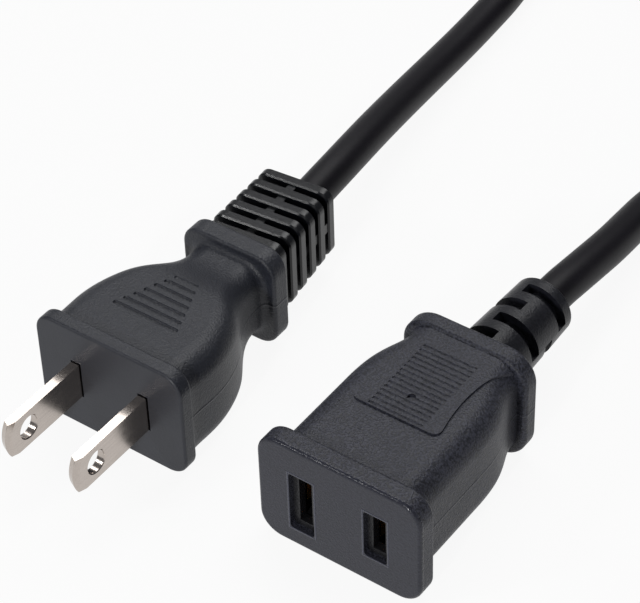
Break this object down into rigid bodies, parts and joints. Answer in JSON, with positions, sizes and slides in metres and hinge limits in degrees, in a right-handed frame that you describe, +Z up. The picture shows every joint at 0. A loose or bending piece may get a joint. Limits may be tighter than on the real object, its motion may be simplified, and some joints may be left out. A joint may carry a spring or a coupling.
{
  "type": "type a plug",
  "caption": "Moulded type A plug with flat blades, a waisted grip, a ribbed strain relief and a round black cord that ends in a slotted socket connector.",
  "frame": {"origin": "on the resting surface, at the middle of the box of the plug with its blades and strain relief, without its cord", "axes": "+Y runs from the blades to the cord, +Z up, +X to the right seen from the cord's end looking at the blades' back"},
  "size_m": [0.1, 0.2575, 0.0198],
  "materials": {
    "plug_moulding": "satin charcoal PVC moulding with a fine spark-eroded grain",
    "connector_moulding": "grained charcoal PVC moulding",
    "blade_plating": "bright nickel plate on brass",
    "inner_plastic": "plain black nylon",
    "core_dark": "smooth black insulation",
    "core_light": "smooth white insulation",
    "copper": "stranded bare copper",
    "contact_brass": "rolled spring brass",
    "cord_jacket": "smooth, softly glossy black jacket",
    "tie_strap": "black woven strap"
  },
  "bodies": {
    "root": {"plug_body": "plug_moulding", "plug_blade_left": "blade_plating", "plug_blade_right": "blade_plating", "plug_inner_bridge": "inner_plastic", "plug_core_left": "core_dark", "plug_core_right": "core_light", "plug_wire_left": "copper", "plug_wire_right": "copper", "lead_end_in_plug": "cord_jacket", "connector_body": "connector_moulding", "connector_inner_housing": "inner_plastic", "connector_clip_left": "contact_brass", "connector_clip_right": "contact_brass", "connector_core_left": "core_dark", "connector_core_right": "core_light", "connector_wire_left": "copper", "connector_wire_right": "copper", "lead_end_in_connector": "cord_jacket", "lead_from_plug": "cord_jacket", "lead_to_connector": "cord_jacket", "lead_coil": "cord_jacket", "coil_tie": "tie_strap"}
  },
  "joints": []
}
